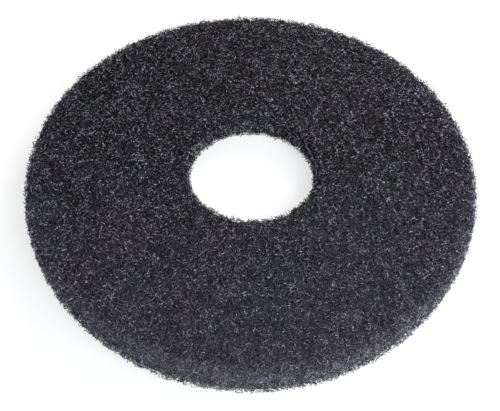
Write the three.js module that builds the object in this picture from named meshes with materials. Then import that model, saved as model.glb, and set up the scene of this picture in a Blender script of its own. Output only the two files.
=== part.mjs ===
// A floor polishing pad: a thick round disc of lofty non-woven fibre web with a large hole through its middle.
// It is die-cut from a sheet in one piece, so it is one solid. The web's open surface is modelled as shallow pits
// between tufts, which all end level with the flat faces, and both cut walls are rounded over and lean a little.
// Units are millimetres. +Z is up, and the origin is on the pad's axis, on the floor it lies on.
import * as THREE from "three";
import { ImprovedNoise } from "three/addons/math/ImprovedNoise.js";

// Overall sizes
const padDiameter = 305;
const holeDiameter = 89;
const padThickness = 17;

// The die presses the web down as it cuts, so each cut wall's top rounds over more than its foot and stands back from it.
const topEdgeRound = 2.5;
const footEdgeRound = 1.2;
const wallSetBack = 0.3;

// Web texture: how deep the pits between the tufts go, and how far apart they are
const pitDepth = 1;
const pitSpacing = 7.5;

// Fineness of the surface: facets round the outer edge, and steps round each edge's curve
const rimFacets = 160;
const topEdgeSteps = 3;
const footEdgeSteps = 2;

const webBlack = { color: 0x39383e, roughness: 0.85, metalness: 0 };

// The section through the web on one side of the axis, as x = radius and y = height, walked anticlockwise.
function padSection() {
  const outer = padDiameter / 2;
  const inner = holeDiameter / 2;
  const outerTop = outer - wallSetBack;
  const innerTop = inner + wallSetBack;
  const shoulder = padThickness - topEdgeRound;
  const section = new THREE.Path();
  section.moveTo(inner + footEdgeRound, 0);
  section.lineTo(outer - footEdgeRound, 0);
  section.quadraticCurveTo(outer, 0, outer, footEdgeRound);
  section.lineTo(outerTop, shoulder);
  section.quadraticCurveTo(outerTop, padThickness, outerTop - topEdgeRound, padThickness);
  section.lineTo(innerTop + topEdgeRound, padThickness);
  section.quadraticCurveTo(innerTop, padThickness, innerTop, shoulder);
  section.lineTo(inner, footEdgeRound);
  section.quadraticCurveTo(inner, 0, inner + footEdgeRound, 0);
  return section;
}

// How many steps a stretch of the section is split into. Straight stretches take square facets.
function stepsAlong(stretch, facet) {
  if (stretch.isLineCurve) return Math.ceil(stretch.getLength() / facet);
  const atTop = stretch.v1.y > padThickness / 2;
  return atTop ? topEdgeSteps : footEdgeSteps;
}

// Points round the whole section, each with its outward normal. The last one leads back to the first.
function sectionPoints(facet) {
  const points = [];
  for (const stretch of padSection().curves) {
    const steps = stepsAlong(stretch, facet);
    for (let i = 0; i < steps; i++) {
      const at = stretch.getPoint(i / steps);
      const along = stretch.getTangent(i / steps);
      points.push({ radius: at.x, height: at.y, normal: new THREE.Vector2(along.y, -along.x) });
    }
  }
  return points;
}

// Depth of the web's surface below its tufts at a point: 0 on a tuft, pitDepth at the bottom of a pit.
const noise = new ImprovedNoise();
const noiseFloor = 0.3;
const pitFull = 0.4;
function pitAt(x, y, z) {
  const field = noise.noise(x / pitSpacing, y / pitSpacing, z / pitSpacing + noiseFloor);
  return pitDepth * THREE.MathUtils.smoothstep(field, 0, pitFull);
}

// Turns one section point round the axis into a ring of points, pressed in by the pits. The number of points follows
// the radius, so facets near the hole are as large as those at the rim, and rings are staggered by half a facet.
function addRing(point, index, facet, positions) {
  const count = Math.max(3, Math.round((2 * Math.PI * point.radius) / facet));
  const stagger = (index % 2) / 2;
  const ring = { start: positions.length / 3, count, stagger };
  for (let i = 0; i < count; i++) {
    const angle = (2 * Math.PI * (i + stagger)) / count;
    const x = point.radius * Math.cos(angle);
    const y = point.radius * Math.sin(angle);
    const pit = pitAt(x, y, point.height);
    const radius = point.radius - pit * point.normal.x * Math.abs(point.normal.x);
    const height = point.height - pit * point.normal.y * Math.abs(point.normal.y);
    positions.push(radius * Math.cos(angle), radius * Math.sin(angle), height);
  }
  return ring;
}

// Joins two neighbouring rings with triangles, taking each next point from the ring that is behind.
function stitchRings(a, b, triangles) {
  let i = 0;
  let j = 0;
  while (i < a.count || j < b.count) {
    const atA = a.start + (i % a.count);
    const atB = b.start + (j % b.count);
    const nextA = (i + 1 + a.stagger) / a.count;
    const nextB = (j + 1 + b.stagger) / b.count;
    const stepA = j === b.count || (i < a.count && nextA <= nextB);
    if (stepA) {
      i += 1;
      triangles.push(atA, a.start + (i % a.count), atB);
    } else {
      j += 1;
      triangles.push(atA, b.start + (j % b.count), atB);
    }
  }
}

function webGeometry() {
  const facet = (Math.PI * padDiameter) / rimFacets;
  const positions = [];
  const rings = sectionPoints(facet).map((point, index) => addRing(point, index, facet, positions));
  const triangles = [];
  rings.forEach((ring, index) => stitchRings(ring, rings[(index + 1) % rings.length], triangles));
  const geometry = new THREE.BufferGeometry();
  geometry.setAttribute("position", new THREE.Float32BufferAttribute(positions, 3));
  geometry.setIndex(triangles);
  geometry.computeVertexNormals();
  return geometry;
}

const pad = new THREE.Mesh(webGeometry(), new THREE.MeshStandardMaterial(webBlack));
pad.name = "fibre_pad";

const floorPad = new THREE.Group();
floorPad.add(pad);

export default floorPad;
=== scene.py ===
"""Builds a black floor polishing pad of crimped fibre web in Blender, round the pad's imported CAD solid.

The pad is a dense core of web that loose crimped fibres cover: on both faces, round the rim and in the
centre hole. Lengths are in metres, in the CAD solid's own frame: +Z is up, and the pad lies on the floor at
z = 0, with its axis on the Z axis.
"""

import math

import bpy
from bpy.props import FloatProperty, FloatVectorProperty, IntProperty, PointerProperty
from mathutils import Euler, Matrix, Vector


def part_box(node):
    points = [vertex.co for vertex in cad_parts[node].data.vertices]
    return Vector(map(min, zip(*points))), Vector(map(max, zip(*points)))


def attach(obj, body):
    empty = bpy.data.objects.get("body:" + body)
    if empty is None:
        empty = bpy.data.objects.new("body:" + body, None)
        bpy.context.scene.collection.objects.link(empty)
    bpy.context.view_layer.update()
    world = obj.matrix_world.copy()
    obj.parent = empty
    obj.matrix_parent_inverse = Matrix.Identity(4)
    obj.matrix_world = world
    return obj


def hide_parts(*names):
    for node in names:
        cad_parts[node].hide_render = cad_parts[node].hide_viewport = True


bl_info = {
    "name": "Floor Polishing Pad",
    "version": (1, 0, 0),
    "blender": (4, 5, 0),
    "location": "3D Viewport > Sidebar > Floor Pad",
    "description": "Models a floor polishing pad of crimped fibre web, with its floor, lights and camera",
    "category": "Add Mesh",
}

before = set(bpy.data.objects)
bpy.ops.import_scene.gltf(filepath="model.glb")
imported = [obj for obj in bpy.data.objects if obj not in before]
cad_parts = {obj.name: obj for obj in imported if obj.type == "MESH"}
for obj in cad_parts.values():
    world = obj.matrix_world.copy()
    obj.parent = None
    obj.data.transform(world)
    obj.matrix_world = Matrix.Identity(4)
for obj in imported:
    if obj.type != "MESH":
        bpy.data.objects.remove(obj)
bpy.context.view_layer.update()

SOLID = "fibre_pad"
BODY = "root"
MM = 0.001

# The parts of the pad's surface that fibres are laid on. The form's region attribute counts them from 0.
REGIONS = ("upper_face", "underside", "rim", "hole_wall")

# The springy web closes up a little after the cut: the hole's width along X and Y as shares of the die's, and
# how far the hole has moved along them
HOLE_SQUASH = (0.993, 0.949)
HOLE_SHIFT = (0.3 * MM, -1.3 * MM)

# The soft rim isn't quite round: how many lobes each set has, and how far they stand out
RIM_LOBES = ((3, 1.05 * MM), (2, 0.4 * MM))

# The form's fineness: sides round each wall, and steps round the edges of the upper face and the underside
WALL_SIDES = 256
TOP_STEPS = 5
FOOT_STEPS = 3

# The value of the pits' noise that leaves the core's surface where it is
PIT_LEVEL = 0.55

# Each piece of loose fibres: its region, how many fibres it has for each square centimetre, the length and
# thickness of its fibres in millimetres, the points along each, how far they lean out of the surface in
# degrees, how much of the crimp's swing they keep in the surface and out of it, how low and how high they lie
# over the form in millimetres, and how bright they are beside the other pieces: the lower pieces on the upper
# face are darker as painted shade deep in the web, and the pieces on the rim and in the hole paler, partly as
# painted light on the walls. A piece's place in the table sets its seed.
FIBRES = {
    "upper_web_low": dict(
        region="upper_face", number=5.8, length=3.2, width=0.46, steps=6, lean=6, swing=0.85, rise=0.2,
        low=0.0, high=0.5, bright=0.5,
    ),
    "upper_web_middle": dict(
        region="upper_face", number=8.7, length=3.2, width=0.42, steps=6, lean=12, swing=0.85, rise=0.2,
        low=0.2, high=0.8, bright=0.85,
    ),
    "upper_web_nap": dict(
        region="upper_face", number=12.8, length=1.8, width=0.38, steps=4, lean=25, swing=0.6, rise=0.2,
        low=0.4, high=1.0, bright=1.0,
    ),
    "upper_web_tips": dict(
        region="upper_face", number=9.2, length=1.6, width=0.38, steps=4, lean=35, swing=0.6, rise=0.2,
        low=0.5, high=1.1, bright=1.1,
    ),
    "underside_web": dict(
        region="underside", number=1.8, length=3.6, width=0.5, steps=6, lean=4, swing=0.85, rise=0.12,
        low=0.0, high=0.9, bright=0.8,
    ),
    "rim_web": dict(
        region="rim", number=13.0, length=4.4, width=0.42, steps=8, lean=30, swing=0.8, rise=0.3,
        low=0.3, high=2.0, bright=1.2,
    ),
    "rim_cut_ends": dict(
        region="rim", number=38.0, length=3.1, width=0.36, steps=3, lean=62, swing=0.5, rise=0.4,
        low=0.2, high=2.2, bright=1.1,
    ),
    "hole_web": dict(
        region="hole_wall", number=12.0, length=4.0, width=0.44, steps=9, lean=16, swing=0.8, rise=0.2,
        low=0.3, high=1.6, bright=1.2,
    ),
    "hole_cut_ends": dict(
        region="hole_wall", number=52.0, length=2.8, width=0.36, steps=4, lean=60, swing=0.6, rise=0.35,
        low=0.4, high=2.0, bright=1.1,
    ),
}
PER_SQUARE_CM = 1e4
SEEDS_APART = 20

# A fibre is stretched by a random factor in this range, and its beads of resin are this fine along its crimps
STRETCH = (0.6, 1.4)
BEAD_SCALE = 3.0

# Each fibre has a random number up to this one. The factors turn it into the fibre's own place in the crimp's
# noise and its own height.
FIBRE_NUMBERS = 1000.0
CRIMPS_APART = (7.31, 3.17)
HEIGHTS_APART = 1.7

# The least height of a fibre's surface over the floor
FLOOR_GAP = 0.02 * MM

# Most of a soft noise's values lie between these
NOISE_RANGE = (0.36, 0.64)

# Where the painted light on the pad's front starts and is full along Y
FRONT_LIGHT_RANGE = (0.02, -0.15)

# The paler look of the walls, partly the cut web's own and partly painted light on them: how far in from the
# rim it starts and is full, how far out from the hole, its share in the hole beside the rim's, lower as
# painted shade in the hole, its share level with the upper face, and how deep below that it is full
RIM_PALE_START = 11 * MM
RIM_PALE_FULL = 2 * MM
HOLE_PALE_START = 3 * MM
HOLE_PALE_FULL = 1 * MM
HOLE_PALE_SHARE = 0.25
TOP_PALE_SHARE = 0.35
TOP_PALE_DEPTH = 5 * MM

# The web's colour drifts between two tints, over patches of this fineness
TINT_SCALE = 34.0
VIOLET_TINT = (1.03, 0.98, 1.03, 1.0)
TEAL_TINT = (0.96, 1.02, 1.01, 1.0)

# The tufts and pores of the web: their fineness, how dark and pale the tufts are, and, at the pad's back and
# its front, how strongly the pores' painted shade marks the web and how pale the web is, paler at the front
# as painted light
TUFT_SCALE = 150.0
TUFT_SHADES = (0.8, 1.2)
PORE_SCALE = 880.0
PORE_SHADE_DEPTHS = (0.92, 0.4)
WEB_SHADES = (0.92, 1.02)

# The layers of strands in the core's material, the nearest first: how far each is moved in the noise, how
# fine and how wide its strands are, and how bright, the deeper ones dimmer as painted shade deep in the web
STRAND_LAYERS = (
    dict(shift=(0.0, 0.0, 0.0), scale=640.0, width=0.04, bright=0.28),
    dict(shift=(0.31, 0.17, 0.23), scale=720.0, width=0.045, bright=0.1),
    dict(shift=(0.71, 0.57, 0.43), scale=800.0, width=0.05, bright=0.03),
)

# The fibres' shade: how much their own tones differ, the grit's fineness, the range of its noise and the
# shades that it gives, its palest specks painted glints of light, and how much of all that is kept at the
# pad's back and its front, where painted light flattens it
TONE_POWER = 2.2
GRIT_SCALE = 1500.0
GRIT_RANGE = (0.41, 0.59)
GRIT_AND_GLINT_SHADES = (0.02, 2.3)
KEPT_TONE_SHARES = (1.1, 0.36)

# For the core and the fibres: how much paler they are on the walls, partly as cut web and partly as painted
# light, and how much painted light makes the pad's front paler
CORE_CUT_AND_LIGHT_GAIN = 2.2
CORE_FRONT_LIGHT = 0.06
FIBRE_CUT_AND_LIGHT_GAIN = 0.56
FIBRE_FRONT_LIGHT = 0.15

# The floor: its width, and how much of it shows as plain white at the pad's axis and beside the pad, between
# these distances from the axis, and what is added to that further away
FLOOR_SIZE = 6
NEAR_FLOOR = (0.05, 0.16)
NEAR_WHITE = (0.67, 0.74)
FAR_FLOOR = (0.22, 0.6)
FAR_WHITE = (0.0, 0.26)

# The strength and colour of the light from all round
AIR_LIGHT = 0.45
AIR_COLOUR = (0.95, 0.955, 1.0, 1.0)

# Each lamp: its place and width in metres, its power and its colour
LAMPS = {
    "cool_window": dict(place=(0.46, -0.46, 0.44), size=0.6, watts=8.6, colour=(0.91, 0.96, 1.0)),
    "warm_window": dict(place=(0.38, 0.78, 0.37), size=0.5, watts=12.0, colour=(1.0, 0.965, 0.93)),
}

# The camera: its angle over the floor and its roll in degrees, its lens in millimetres, and its distance from
# what it looks at and the place of that, both in rim radii
CAMERA_ELEVATION = 55.5
CAMERA_ROLL = 1.21
CAMERA_LENS = 52.28
CAMERA_DISTANCE = 3.266
CAMERA_TARGET = (-0.0025, -0.1392, 0.0)


def solid_radii():
    """The hole's and the rim's radius on the CAD solid."""
    radii = [math.hypot(vertex.co.x, vertex.co.y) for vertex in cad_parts[SOLID].data.vertices]
    return min(radii), max(radii)


HOLE_RADIUS, RIM_RADIUS = solid_radii()
PAD_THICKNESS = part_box(SOLID)[1].z


def length_property(name, description, default):
    """A length of the pad that a user may change."""
    return FloatProperty(
        name=name, description=description, default=default, min=0, unit="LENGTH", precision=5
    )


def colour_property(name, description, default):
    """A colour of the pad or its floor that a user may change."""
    return FloatVectorProperty(
        name=name, description=description, default=default, min=0, max=1, size=3, subtype="COLOR"
    )


class PadSizes(bpy.types.PropertyGroup):
    """Sizes of the pad and its fibres"""

    rim_radius: length_property("Rim Radius", "Radius of the pad's outer edge", RIM_RADIUS)
    hole_radius: length_property("Hole Radius", "Radius of the centre hole", HOLE_RADIUS)
    thickness: length_property("Thickness", "Height of the pad up to its tufts", PAD_THICKNESS)
    face_loft: length_property("Face Loft", "Depth of the loose fibres over the core's faces", 1.2 * MM)
    wall_loft: length_property("Wall Loft", "Depth of the loose fibres over the core's cut walls", 0.85 * MM)
    set_back: length_property("Set Back", "How far a cut wall's top stands back from its foot", 0.2 * MM)
    top_round: length_property("Top Round", "Rounding of the edges of the upper face", 2.4 * MM)
    foot_round: length_property("Foot Round", "Rounding of the edges of the underside", 2.0 * MM)
    core_grain: length_property("Core Grain", "Width of the core's mesh faces", 1.4 * MM)
    pit_depth: length_property("Pit Depth", "Depth of the pits in the core", 3.0 * MM)
    pit_width: length_property("Pit Width", "Width of the pits in the core", 2.8 * MM)
    crimp_swing: length_property("Crimp Swing", "How far a fibre's crimps swing about its line", 7 * MM)
    crimp_length: length_property("Crimp Length", "Length of half a crimp along a fibre", 1.2 * MM)
    stray: length_property("Stray", "How far fibres may stand out of the rim and the hole's wall", 2.4 * MM)
    seed: IntProperty(name="Seed", description="Start of all the random choices", default=7)


class PadColours(bpy.types.PropertyGroup):
    """Colours of the pad and its floor"""

    deep_web: colour_property("Deep Web", "Colour deep between the fibres", (0.003, 0.003, 0.0042))
    dark_fibre: colour_property("Dark Fibre", "Colour of the darkest fibres", (0.003, 0.003, 0.0045))
    pale_fibre: colour_property("Pale Fibre", "Colour of the palest fibres", (0.275, 0.26, 0.3))
    floor: colour_property("Floor", "Colour of the floor", (0.95, 0.95, 0.95))


def add_node(tree, kind, inputs=None, **settings):
    """Adds a node to a tree, sets its settings, and fills or links its inputs by name or number."""
    node = tree.nodes.new(kind)
    for name, value in settings.items():
        setattr(node, name, value)
    for name, value in (inputs or {}).items():
        if isinstance(value, bpy.types.NodeSocket):
            tree.links.new(value, node.inputs[name])
        else:
            node.inputs[name].default_value = value
    return node


def math_node(tree, operation, *values):
    """The result of a maths step on numbers or sockets."""
    return add_node(tree, "ShaderNodeMath", dict(enumerate(values)), operation=operation).outputs[0]


def times(tree, first, second):
    """Two numbers or sockets multiplied."""
    return math_node(tree, "MULTIPLY", first, second)


def plus(tree, first, second):
    """Two numbers or sockets added."""
    return math_node(tree, "ADD", first, second)


def larger(tree, first, second):
    """The larger of two numbers or sockets."""
    return math_node(tree, "MAXIMUM", first, second)


def vector_node(tree, operation, *values):
    """The result of a vector step on vectors or sockets."""
    return add_node(tree, "ShaderNodeVectorMath", dict(enumerate(values)), operation=operation).outputs[0]


def scale_vector(tree, vector, factor):
    """A vector made longer or shorter by a factor."""
    return add_node(tree, "ShaderNodeVectorMath", {0: vector, "Scale": factor}, operation="SCALE").outputs[0]


def vector_length(tree, vector):
    """The length of a vector."""
    return add_node(tree, "ShaderNodeVectorMath", {0: vector}, operation="LENGTH").outputs["Value"]


def combine_node(tree, x, y, z):
    """A vector put together from three numbers or sockets."""
    return add_node(tree, "ShaderNodeCombineXYZ", {"X": x, "Y": y, "Z": z}).outputs[0]


def separate_node(tree, vector):
    """The outputs X, Y and Z of a vector."""
    return add_node(tree, "ShaderNodeSeparateXYZ", {0: vector}).outputs


def mix_colours(tree, factor, first, second, blend="MIX"):
    """Two colours mixed by a factor."""
    return add_node(
        tree, "ShaderNodeMix", {0: factor, 6: first, 7: second}, data_type="RGBA", blend_type=blend
    ).outputs[2]


def opaque(colour):
    """A colour with full alpha, as a colour socket takes it."""
    return (*colour, 1.0)


def start_material(name):
    """An empty material, its node tree and its surface shader."""
    material = bpy.data.materials.new(name)
    material.use_nodes = True
    tree = material.node_tree
    return material, tree, tree.nodes["Principled BSDF"]


def ramp(tree, value, start, end, low, high):
    """A number that goes from low to high as another goes from start to end, and stays level beyond them."""
    return add_node(
        tree, "ShaderNodeMapRange",
        {"Value": value, "From Min": start, "From Max": end, "To Min": low, "To Max": high},
    ).outputs["Result"]


def noise_between(tree, where, scale, low, high):
    """Soft noise that drifts between two numbers over patches of about 1 / scale metres."""
    noise = add_node(tree, "ShaderNodeTexNoise", {"Vector": where, "Scale": scale, "Detail": 2.0})
    return ramp(tree, noise.outputs["Fac"], *NOISE_RANGE, low, high)


def back_to_front(tree, where, back, front):
    """A number that changes along Y, from the pad's back to its front, which painted light makes paler and
    flatter.
    """
    return ramp(tree, separate_node(tree, where)["Y"], *FRONT_LIGHT_RANGE, back, front)


def cut_and_lit_wall_share(tree, where, sizes):
    """How much of the walls' paler look shows, partly cut web and partly painted light: 1 on the rim, less
    near the upper face and in the hole.
    """
    at = separate_node(tree, where)
    radius = vector_length(tree, combine_node(tree, at["X"], at["Y"], 0.0))
    rim = ramp(tree, radius, sizes.rim_radius - RIM_PALE_START, sizes.rim_radius - RIM_PALE_FULL, 0.0, 1.0)
    hole_start = sizes.hole_radius + HOLE_PALE_START
    hole = ramp(tree, radius, hole_start, sizes.hole_radius + HOLE_PALE_FULL, 0.0, HOLE_PALE_SHARE)
    full_height = sizes.thickness - TOP_PALE_DEPTH
    below_top = ramp(tree, at["Z"], sizes.thickness, full_height, TOP_PALE_SHARE, 1.0)
    return times(tree, larger(tree, rim, hole), below_top)


def mottle(tree, where, sizes, cut_and_light_gain, colour):
    """A colour made paler on tufts and on the walls, partly as cut web and partly as painted light, darker in
    pores as painted shade, paler towards the front as painted light, and that drifts between violet and teal.
    """
    # The walls' paler look is partly the cut web's own and partly painted light on them.
    cut = cut_and_lit_wall_share(tree, where, sizes)
    teal = larger(tree, noise_between(tree, where, TINT_SCALE, 0.0, 1.0), cut)
    tint = mix_colours(tree, teal, VIOLET_TINT, TEAL_TINT)
    tinted = mix_colours(tree, 1.0, colour, tint, blend="MULTIPLY")
    tufts = noise_between(tree, where, TUFT_SCALE, *TUFT_SHADES)
    pore_shade_depth = back_to_front(tree, where, *PORE_SHADE_DEPTHS)
    # Painted shade: the pores' noise darkens the web in its pores, less towards the front.
    pores = times(tree, noise_between(tree, where, PORE_SCALE, -1.0, 1.0), pore_shade_depth)
    shades = times(tree, tufts, plus(tree, pores, back_to_front(tree, where, *WEB_SHADES)))
    paleness = plus(tree, times(tree, cut, cut_and_light_gain), 1.0)
    return scale_vector(tree, tinted, times(tree, shades, paleness))


def strand_lines(tree, where, shift, scale, width, bright):
    """Winding lines: bright along the middle of each strand, and falling to 0 beside it."""
    moved = vector_node(tree, "ADD", where, shift)
    noise = add_node(
        tree, "ShaderNodeTexNoise", {"Vector": moved, "Scale": scale, "Detail": 1.0, "Roughness": 0.4}
    )
    off_middle = math_node(tree, "ABSOLUTE", math_node(tree, "SUBTRACT", noise.outputs["Fac"], 0.5))
    lines = add_node(
        tree, "ShaderNodeMapRange",
        {"Value": off_middle, "From Min": 0.0, "From Max": width, "To Min": 1.0, "To Max": 0.0},
        interpolation_type="SMOOTHSTEP",
    )
    return times(tree, lines.outputs["Result"], bright)


def core_material(sizes, colours):
    """The dense web below the loose fibres: layers of winding strands, dimmer the deeper they lie as painted
    shade, and paler towards the pad's front as painted light.
    """
    material, tree, shader = start_material("dense_web")
    where = add_node(tree, "ShaderNodeTexCoord").outputs["Object"]
    web = 0.0
    # Painted shade: the deeper layers of strands are dimmer.
    for layer in STRAND_LAYERS:
        web = larger(tree, web, strand_lines(tree, where, **layer))
    # Painted light: the core grows paler towards the pad's front.
    shade = plus(tree, web, back_to_front(tree, where, 0.0, CORE_FRONT_LIGHT))
    colour = mix_colours(tree, shade, opaque(colours.deep_web), opaque(colours.pale_fibre))
    bump = add_node(tree, "ShaderNodeBump", {"Height": web, "Strength": 0.6, "Distance": 0.4 * MM})
    tree.links.new(mottle(tree, where, sizes, CORE_CUT_AND_LIGHT_GAIN, colour), shader.inputs["Base Color"])
    tree.links.new(bump.outputs["Normal"], shader.inputs["Normal"])
    shader.inputs["Roughness"].default_value = 0.7
    shader.inputs["Specular IOR Level"].default_value = 0.02
    return material


def fibre_material(sizes, colours):
    """Resin-coated fibres, each a little darker or paler than the next, rough with resin and grit, with
    painted glints as pale specks, and paler and flatter towards the pad's front as painted light.
    """
    material, tree, shader = start_material("crimped_fibre")
    tone = add_node(tree, "ShaderNodeAttribute", attribute_name="fibre_tone", attribute_type="GEOMETRY")
    where = add_node(tree, "ShaderNodeTexCoord").outputs["Object"]
    grit = add_node(
        tree, "ShaderNodeTexNoise", {"Vector": where, "Scale": GRIT_SCALE, "Detail": 2.0}
    ).outputs["Fac"]
    own_tone = math_node(tree, "POWER", tone.outputs["Fac"], TONE_POWER)
    # Painted highlights: the grit's palest specks stand for glints of light, beside the grit's own darker and
    # paler shades.
    grit_and_glints = times(tree, own_tone, ramp(tree, grit, *GRIT_RANGE, *GRIT_AND_GLINT_SHADES))
    # Painted light: towards the pad's front the fibres' tones are flattened and made paler.
    front_flattened = times(tree, grit_and_glints, back_to_front(tree, where, *KEPT_TONE_SHARES))
    shade = plus(tree, front_flattened, back_to_front(tree, where, 0.0, FIBRE_FRONT_LIGHT))
    colour = mix_colours(tree, shade, opaque(colours.dark_fibre), opaque(colours.pale_fibre))
    bump = add_node(tree, "ShaderNodeBump", {"Height": grit, "Strength": 0.5, "Distance": 0.1 * MM})
    tree.links.new(mottle(tree, where, sizes, FIBRE_CUT_AND_LIGHT_GAIN, colour), shader.inputs["Base Color"])
    tree.links.new(bump.outputs["Normal"], shader.inputs["Normal"])
    shader.inputs["Roughness"].default_value = 0.42
    shader.inputs["Specular IOR Level"].default_value = 0.05
    return material


def camera_share(tree, share):
    """A share for rays that show a surface to the camera, straight or by gloss or glass, and 0 for others."""
    ray = add_node(tree, "ShaderNodeLightPath")
    mirrored = larger(tree, ray.outputs["Is Glossy Ray"], ray.outputs["Is Transmission Ray"])
    return times(tree, larger(tree, ray.outputs["Is Camera Ray"], mirrored), share)


def floor_material(colours):
    """A pale floor that keeps the pad's soft shadow, and shows as white far away from it."""
    material, tree, shader = start_material("pale_floor")
    shader.inputs["Base Color"].default_value = opaque(colours.floor)
    shader.inputs["Roughness"].default_value = 0.9
    white = add_node(tree, "ShaderNodeEmission", {"Color": (1.0, 1.0, 1.0, 1.0), "Strength": 1.0})
    where = add_node(tree, "ShaderNodeTexCoord").outputs["Object"]
    away = vector_length(tree, where)
    near = ramp(tree, away, *NEAR_FLOOR, *NEAR_WHITE)
    share = camera_share(tree, plus(tree, near, ramp(tree, away, *FAR_FLOOR, *FAR_WHITE)))
    mixed = add_node(tree, "ShaderNodeMixShader", {0: share, 1: shader.outputs[0], 2: white.outputs[0]})
    tree.links.new(mixed.outputs[0], tree.nodes["Material Output"].inputs["Surface"])
    return material


def deselect_all():
    """Leaves no object selected."""
    bpy.ops.object.select_all(action="DESELECT")


def make_active(thing):
    """Selects one object and nothing else."""
    deselect_all()
    thing.select_set(True)
    bpy.context.view_layer.objects.active = thing


def select_ring(mesh, height, outside, middle):
    """Selects one ring of edges of the form in edit mode: at a height, and outside or inside the middle."""
    bpy.ops.mesh.select_mode(type="EDGE")
    bpy.ops.mesh.select_all(action="DESELECT")
    bpy.ops.object.mode_set(mode="OBJECT")
    near = 0.01 * MM
    for edge in mesh.edges:
        ends = [mesh.vertices[i].co for i in edge.vertices]
        level = all(abs(end.z - height) < near for end in ends)
        edge.select = level and all((math.hypot(end.x, end.y) > middle) == outside for end in ends)
    bpy.ops.object.mode_set(mode="EDIT")


def select_flat_faces(mesh):
    """Selects the faces that look straight up or down, in edit mode."""
    bpy.ops.mesh.select_mode(type="FACE")
    bpy.ops.mesh.select_all(action="DESELECT")
    bpy.ops.object.mode_set(mode="OBJECT")
    for face in mesh.polygons:
        face.select = abs(face.normal.z) > 0.9
    bpy.ops.object.mode_set(mode="EDIT")


def region_of(face, middle):
    """The name of the part of the pad's surface that a face of the form belongs to."""
    if face.normal.z > 0.5:
        return "upper_face"
    if face.normal.z < -0.5:
        return "underside"
    return "rim" if math.hypot(face.center.x, face.center.y) > middle else "hole_wall"


def add_form(sizes):
    """The pad's plain form below its loose fibres: a ring with leaning cut walls and rounded edges."""
    outer = sizes.rim_radius - sizes.wall_loft
    inner = sizes.hole_radius + sizes.wall_loft
    top = sizes.thickness - sizes.face_loft
    foot = sizes.face_loft
    middle = (outer + inner) / 2
    deselect_all()
    bpy.ops.mesh.primitive_cylinder_add(
        vertices=WALL_SIDES, radius=outer, depth=top - foot, end_fill_type="NGON",
        location=(0, 0, (top + foot) / 2),
    )
    form = bpy.context.object
    form.name = "pad_form"
    bpy.ops.object.transform_apply(location=True, rotation=True, scale=True)
    bpy.ops.object.mode_set(mode="EDIT")
    select_flat_faces(form.data)
    bpy.ops.mesh.inset(thickness=outer - inner, depth=0)
    bpy.ops.mesh.bridge_edge_loops()
    leaned_rim = (outer - sizes.set_back) / outer
    leaned_hole = (inner + sizes.set_back) / inner
    select_ring(form.data, top, True, middle)
    bpy.ops.transform.resize(value=(leaned_rim, leaned_rim, 1), center_override=(0, 0, top))
    select_ring(form.data, top, False, middle)
    bpy.ops.transform.resize(value=(leaned_hole, leaned_hole, 1), center_override=(0, 0, top))
    for height in (top, foot):
        select_ring(form.data, height, False, middle)
        bpy.ops.transform.resize(value=(*HOLE_SQUASH, 1), center_override=(0, 0, height))
        bpy.ops.transform.translate(value=(*HOLE_SHIFT, 0))
    for height, offset, steps in ((top, sizes.top_round, TOP_STEPS), (foot, sizes.foot_round, FOOT_STEPS)):
        for outside in (True, False):
            select_ring(form.data, height, outside, middle)
            bpy.ops.mesh.bevel(offset=offset, segments=steps, profile=0.5)
    bpy.ops.object.mode_set(mode="OBJECT")
    add_lobes(form, middle, outer)
    regions = form.data.attributes.new("region", "INT", "FACE")
    for face in form.data.polygons:
        regions.data[face.index].value = REGIONS.index(region_of(face, middle))
    return form


def add_lobes(form, middle, outer):
    """Moves the form's rim in and out by its lobes, and what is inside it less and less up to the middle."""
    for vertex in form.data.vertices:
        radius = math.hypot(vertex.co.x, vertex.co.y)
        share = max(0.0, (radius - middle) / (outer - middle))
        angle = math.atan2(vertex.co.y, vertex.co.x)
        out = sum(height * math.sin(number * angle) for number, height in RIM_LOBES)
        grown = (radius + share * out) / radius
        vertex.co.x *= grown
        vertex.co.y *= grown


def pad_form(sizes):
    """The pad's plain form, made when it is first asked for."""
    return bpy.data.objects.get("pad_form") or add_form(sizes)


def web_material(name, sizes, colours):
    """The core's or the fibres' material, made when it is first asked for."""
    make = core_material if name == "dense_web" else fibre_material
    return bpy.data.materials.get(name) or make(sizes, colours)


def add_core(sizes, colours):
    """The dense core of the web: the form in small even faces, pitted all over."""
    make_active(pad_form(sizes))
    bpy.ops.object.duplicate()
    core = bpy.context.object
    core.name = "dense_core"
    remesh = core.modifiers.new("even_faces", "REMESH")
    remesh.mode = "VOXEL"
    remesh.voxel_size = sizes.core_grain
    remesh.use_smooth_shade = True
    bpy.ops.object.modifier_apply(modifier=remesh.name)
    clouds = bpy.data.textures.new("pits", "CLOUDS")
    clouds.noise_scale = sizes.pit_width
    clouds.noise_depth = 1
    press = core.modifiers.new("pits", "DISPLACE")
    press.texture = clouds
    press.texture_coords = "LOCAL"
    press.strength = sizes.pit_depth
    press.mid_level = PIT_LEVEL
    bpy.ops.object.modifier_apply(modifier=press.name)
    core.data.materials.clear()
    core.data.materials.append(web_material("dense_web", sizes, colours))
    return core


def random_node(tree, given, draw, low, high):
    """A random number for each point between two numbers. Each draw of a piece has a seed of its own."""
    seed = plus(tree, given["Seed"], float(draw))
    return add_node(
        tree, "FunctionNodeRandomValue", {2: low, 3: high, "Seed": seed}, data_type="FLOAT"
    ).outputs[1]


def named_attribute(tree, name, kind):
    """The value of a named attribute at each point."""
    return add_node(
        tree, "GeometryNodeInputNamedAttribute", {"Name": name}, data_type=kind
    ).outputs["Attribute"]


def store_attribute(tree, geometry, name, kind, value):
    """The geometry with a named attribute at each point."""
    return add_node(
        tree, "GeometryNodeStoreNamedAttribute", {"Geometry": geometry, "Name": name, "Value": value},
        data_type=kind, domain="POINT",
    ).outputs["Geometry"]


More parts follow.
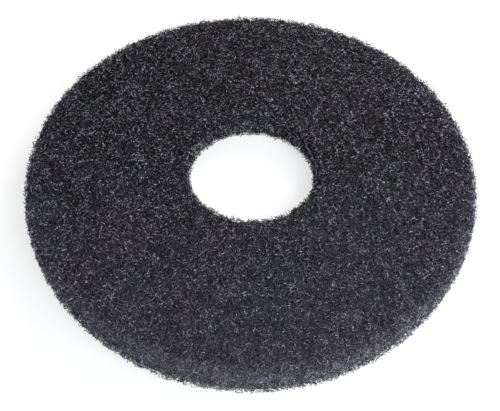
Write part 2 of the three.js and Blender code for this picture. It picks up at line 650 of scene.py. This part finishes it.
def fibre_points(tree, given):
    """Points over one region of the form that keep their fibre's tone, number and way up, and their turns."""
    surface = add_node(tree, "GeometryNodeObjectInfo", {"Object": given["Form"]}).outputs["Geometry"]
    chosen = add_node(
        tree, "FunctionNodeCompare", {2: named_attribute(tree, "region", "INT"), 3: given["Region"]},
        data_type="INT", operation="EQUAL",
    )
    spread = add_node(
        tree, "GeometryNodeDistributePointsOnFaces",
        {"Mesh": surface, "Selection": chosen.outputs[0], "Density": given["Density"], "Seed": given["Seed"]},
    )
    points = spread.outputs["Points"]
    kept = (
        ("fibre_tone", "FLOAT", random_node(tree, given, 1, 0.0, 1.0)),
        ("fibre_number", "FLOAT", random_node(tree, given, 2, 0.0, FIBRE_NUMBERS)),
        ("web_up", "FLOAT_VECTOR", spread.outputs["Normal"]),
    )
    for attribute, kind, value in kept:
        points = store_attribute(tree, points, attribute, kind, value)
    return points, spread.outputs["Rotation"]


def straight_fibres(tree, given):
    """A straight stepped line at each point, turned any way in the surface and leaning a little out of it."""
    points, surface_turn = fibre_points(tree, given)
    half = times(tree, given["Length"], 0.5)
    back = times(tree, half, -1.0)
    line = add_node(
        tree, "GeometryNodeCurvePrimitiveLine",
        {"Start": combine_node(tree, back, 0.0, 0.0), "End": combine_node(tree, half, 0.0, 0.0)},
    )
    stepped = add_node(
        tree, "GeometryNodeResampleCurve", {"Curve": line.outputs["Curve"], "Count": given["Steps"]}
    )
    lean = random_node(tree, given, 3, times(tree, given["Lean"], -1.0), given["Lean"])
    spin = random_node(tree, given, 4, 0.0, math.tau)
    own_turn = add_node(tree, "FunctionNodeEulerToRotation", {"Euler": combine_node(tree, 0.0, lean, spin)})
    turned = add_node(
        tree, "FunctionNodeRotateRotation", {"Rotation": surface_turn, "Rotate By": own_turn.outputs[0]},
        rotation_space="LOCAL",
    )
    stretch = random_node(tree, given, 5, *STRETCH)
    laid = add_node(
        tree, "GeometryNodeInstanceOnPoints",
        {"Points": points, "Instance": stepped.outputs["Curve"], "Rotation": turned.outputs[0],
         "Scale": combine_node(tree, stretch, 1.0, 1.0)},
    )
    return add_node(tree, "GeometryNodeRealizeInstances", {"Geometry": laid.outputs[0]}).outputs[0]


def own_place(tree):
    """The outputs X, Y and Z of each point's place."""
    return separate_node(tree, add_node(tree, "GeometryNodeInputPosition").outputs[0])


def cut_to_form(tree, fibres, sizes):
    """The fibres kept between the hole and the rim, give or take what may stray, as the die cut them."""
    at = own_place(tree)
    flat = combine_node(tree, at["X"], at["Y"], 0.0)
    radius = vector_length(tree, flat)
    inner = larger(tree, radius, sizes.hole_radius * min(HOLE_SQUASH) - sizes.stray)
    kept = math_node(tree, "MINIMUM", inner, sizes.rim_radius + sizes.stray)
    moved = scale_vector(tree, flat, math_node(tree, "DIVIDE", kept, radius))
    place = vector_node(tree, "ADD", moved, combine_node(tree, 0.0, 0.0, at["Z"]))
    return add_node(tree, "GeometryNodeSetPosition", {"Geometry": fibres, "Position": place}).outputs[0]


def crimped_fibres(tree, given, sizes):
    """The fibres crimped and raised to their heights, and each point's place in the crimp's noise."""
    fibres = straight_fibres(tree, given)
    along = add_node(tree, "GeometryNodeSplineParameter").outputs["Length"]
    number = named_attribute(tree, "fibre_number", "FLOAT")
    up = named_attribute(tree, "web_up", "FLOAT_VECTOR")
    crimps_along = math_node(tree, "DIVIDE", along, sizes.crimp_length)
    place = combine_node(tree, crimps_along, *(times(tree, number, apart) for apart in CRIMPS_APART))
    noise = add_node(
        tree, "ShaderNodeTexNoise", {"Vector": place, "Scale": 1.0, "Detail": 1.0, "Roughness": 0.4}
    )
    off_middle = vector_node(tree, "SUBTRACT", noise.outputs["Color"], (0.5, 0.5, 0.5))
    swing = scale_vector(tree, off_middle, sizes.crimp_swing)
    across = add_node(
        tree, "ShaderNodeVectorMath", {0: swing, 1: up}, operation="DOT_PRODUCT"
    ).outputs["Value"]
    in_surface = vector_node(tree, "SUBTRACT", swing, scale_vector(tree, up, across))
    own_share = math_node(tree, "FRACT", times(tree, number, HEIGHTS_APART))
    level = ramp(tree, own_share, 0.0, 1.0, given["Lowest"], given["Highest"])
    height = plus(tree, level, times(tree, across, given["Rise"]))
    offset = vector_node(
        tree, "ADD", scale_vector(tree, in_surface, given["Swing"]), scale_vector(tree, up, height)
    )
    crimped = add_node(tree, "GeometryNodeSetPosition", {"Geometry": fibres, "Offset": offset}).outputs[0]
    return cut_to_form(tree, crimped, sizes), place


def fibre_tree(sizes):
    """Geometry nodes that lay crimped fibres on one region of the form."""
    tree = bpy.data.node_groups.new("lay_fibres", "GeometryNodeTree")
    sockets = (
        ("Form", "Object"), ("Region", "Int"), ("Density", "Float"), ("Seed", "Int"), ("Length", "Float"),
        ("Width", "Float"), ("Steps", "Int"), ("Lean", "Float"), ("Swing", "Float"), ("Rise", "Float"),
        ("Lowest", "Float"), ("Highest", "Float"), ("Bright", "Float"),
    )
    for name, kind in sockets:
        tree.interface.new_socket(name=name, in_out="INPUT", socket_type="NodeSocket" + kind)
    tree.interface.new_socket(name="Fibres", in_out="OUTPUT", socket_type="NodeSocketGeometry")
    given = tree.nodes.new("NodeGroupInput").outputs

    centre_lines, place = crimped_fibres(tree, given, sizes)
    beads = add_node(
        tree, "ShaderNodeTexNoise", {"Vector": place, "Scale": BEAD_SCALE, "Detail": 0.0}
    ).outputs["Fac"]
    # A triangle whose sides are as long as the fibre is thick
    section = add_node(
        tree, "GeometryNodeCurvePrimitiveCircle",
        {"Resolution": 3, "Radius": times(tree, given["Width"], 1 / math.sqrt(3))},
    )
    tubes = add_node(
        tree, "GeometryNodeCurveToMesh",
        {"Curve": centre_lines, "Profile Curve": section.outputs[0], "Scale": plus(tree, beads, 0.5),
         "Fill Caps": True},
    )
    at = own_place(tree)
    above_floor = combine_node(tree, at["X"], at["Y"], larger(tree, at["Z"], FLOOR_GAP))
    rested = add_node(
        tree, "GeometryNodeSetPosition", {"Geometry": tubes.outputs[0], "Position": above_floor}
    )
    tone = times(tree, named_attribute(tree, "fibre_tone", "FLOAT"), given["Bright"])
    toned = store_attribute(tree, rested.outputs[0], "fibre_tone", "FLOAT", tone)
    smooth = add_node(tree, "GeometryNodeSetShadeSmooth", {"Geometry": toned})
    tree.links.new(smooth.outputs[0], tree.nodes.new("NodeGroupOutput").inputs[0])
    return tree


def add_fibres(name, sizes, colours):
    """One piece of loose crimped fibres on its region of the form."""
    plan = FIBRES[name]
    form = pad_form(sizes)
    deselect_all()
    bpy.ops.mesh.primitive_plane_add(size=1 * MM)
    piece = bpy.context.object
    piece.name = name
    scatter = piece.modifiers.new("lay_fibres", "NODES")
    scatter.node_group = bpy.data.node_groups.get("lay_fibres") or fibre_tree(sizes)
    values = {
        "Form": form,
        "Region": REGIONS.index(plan["region"]),
        "Density": plan["number"] * PER_SQUARE_CM,
        "Seed": sizes.seed + SEEDS_APART * list(FIBRES).index(name),
        "Length": plan["length"] * MM,
        "Width": plan["width"] * MM,
        "Steps": plan["steps"],
        "Lean": math.radians(plan["lean"]),
        "Swing": plan["swing"],
        "Rise": plan["rise"],
        "Lowest": plan["low"] * MM,
        "Highest": plan["high"] * MM,
        "Bright": plan["bright"],
    }
    for socket in scatter.node_group.interface.items_tree:
        if socket.in_out == "INPUT":
            scatter[socket.identifier] = values[socket.name]
    bpy.ops.object.modifier_apply(modifier=scatter.name)
    piece.data.materials.clear()
    piece.data.materials.append(web_material("crimped_fibre", sizes, colours))
    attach(piece, BODY)


def add_lamp(name, place, size, watts, colour):
    """A soft square lamp that shines at the pad."""
    bpy.ops.object.light_add(type="AREA", location=place)
    lamp = bpy.context.object
    lamp.name = name
    lamp.data.size = size
    lamp.data.energy = watts
    lamp.data.color = colour
    lamp.rotation_euler = (-Vector(place)).to_track_quat("-Z", "Y").to_euler()


def add_world():
    """Surroundings that are plain white to the camera, and softer and slightly cool as light on the pad."""
    world = bpy.data.worlds.new("studio")
    bpy.context.scene.world = world
    world.use_nodes = True
    tree = world.node_tree
    strength = plus(tree, camera_share(tree, 1.0 - AIR_LIGHT), AIR_LIGHT)
    colour = mix_colours(tree, camera_share(tree, 1.0), AIR_COLOUR, (1.0, 1.0, 1.0, 1.0))
    tree.links.new(colour, tree.nodes["Background"].inputs["Color"])
    tree.links.new(strength, tree.nodes["Background"].inputs["Strength"])


def add_camera(sizes):
    """The photograph's camera: it looks along +Y and down at the pad, with a slight roll."""
    elevation = math.radians(CAMERA_ELEVATION)
    distance = CAMERA_DISTANCE * sizes.rim_radius
    target = Vector(CAMERA_TARGET) * sizes.rim_radius
    back = Vector((0, -math.cos(elevation), math.sin(elevation)))
    bpy.ops.object.camera_add(location=target + back * distance)
    camera = bpy.context.object
    camera.data.lens = CAMERA_LENS
    roll = Euler((0, 0, math.radians(CAMERA_ROLL))).to_quaternion()
    camera.rotation_mode = "QUATERNION"
    camera.rotation_quaternion = (-back).to_track_quat("-Z", "Y") @ roll
    bpy.context.scene.camera = camera


class FLOORPAD_OT_stage(bpy.types.Operator):
    """Adds the floor, the lights and the camera"""

    bl_idname = "floorpad.stage"
    bl_label = "Add Stage"

    def execute(self, context):
        deselect_all()
        bpy.ops.mesh.primitive_plane_add(size=FLOOR_SIZE)
        floor = context.object
        floor.name = "floor"
        floor.data.materials.append(floor_material(context.scene.pad_colours))
        add_world()
        for name, lamp in LAMPS.items():
            add_lamp(name, **lamp)
        add_camera(context.scene.pad_sizes)
        context.scene.view_settings.view_transform = "Standard"
        return {"FINISHED"}


class FLOORPAD_OT_core(bpy.types.Operator):
    """Adds the dense core of the web"""

    bl_idname = "floorpad.core"
    bl_label = "Add Dense Core"

    def execute(self, context):
        core = add_core(context.scene.pad_sizes, context.scene.pad_colours)
        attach(core, BODY)
        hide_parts(SOLID)
        return {"FINISHED"}


class FLOORPAD_OT_face_fibres(bpy.types.Operator):
    """Adds the loose fibres on the upper face and the underside"""

    bl_idname = "floorpad.face_fibres"
    bl_label = "Add Face Fibres"

    def execute(self, context):
        for name, plan in FIBRES.items():
            if plan["region"] in ("upper_face", "underside"):
                add_fibres(name, context.scene.pad_sizes, context.scene.pad_colours)
        return {"FINISHED"}


class FLOORPAD_OT_wall_fibres(bpy.types.Operator):
    """Adds the loose fibres and the cut fibre ends round the rim and in the hole"""

    bl_idname = "floorpad.wall_fibres"
    bl_label = "Add Wall Fibres"

    def execute(self, context):
        for name, plan in FIBRES.items():
            if plan["region"] in ("rim", "hole_wall"):
                add_fibres(name, context.scene.pad_sizes, context.scene.pad_colours)
        return {"FINISHED"}


OPERATORS = (FLOORPAD_OT_stage, FLOORPAD_OT_core, FLOORPAD_OT_face_fibres, FLOORPAD_OT_wall_fibres)


class FLOORPAD_PT_panel(bpy.types.Panel):
    """Lists the sizes, the colours and the steps of the floor pad"""

    bl_idname = "FLOORPAD_PT_panel"
    bl_label = "Floor Pad"
    bl_space_type = "VIEW_3D"
    bl_region_type = "UI"
    bl_category = "Floor Pad"

    def draw(self, context):
        for group in (context.scene.pad_sizes, context.scene.pad_colours):
            for name in group.__annotations__:
                self.layout.prop(group, name)
        for operator in OPERATORS:
            self.layout.operator(operator.bl_idname)


CLASSES = (PadSizes, PadColours, *OPERATORS, FLOORPAD_PT_panel)


def register():
    for cls in CLASSES:
        bpy.utils.register_class(cls)
    bpy.types.Scene.pad_sizes = PointerProperty(type=PadSizes)
    bpy.types.Scene.pad_colours = PointerProperty(type=PadColours)


def unregister():
    del bpy.types.Scene.pad_colours
    del bpy.types.Scene.pad_sizes
    for cls in reversed(CLASSES):
        bpy.utils.unregister_class(cls)


def main():
    """Builds the stage and the pad."""
    register()
    bpy.ops.floorpad.stage()
    bpy.ops.floorpad.core()
    bpy.ops.floorpad.face_fibres()
    bpy.ops.floorpad.wall_fibres()
    bpy.data.objects.remove(bpy.data.objects["pad_form"])


if __name__ == "__main__":
    main()
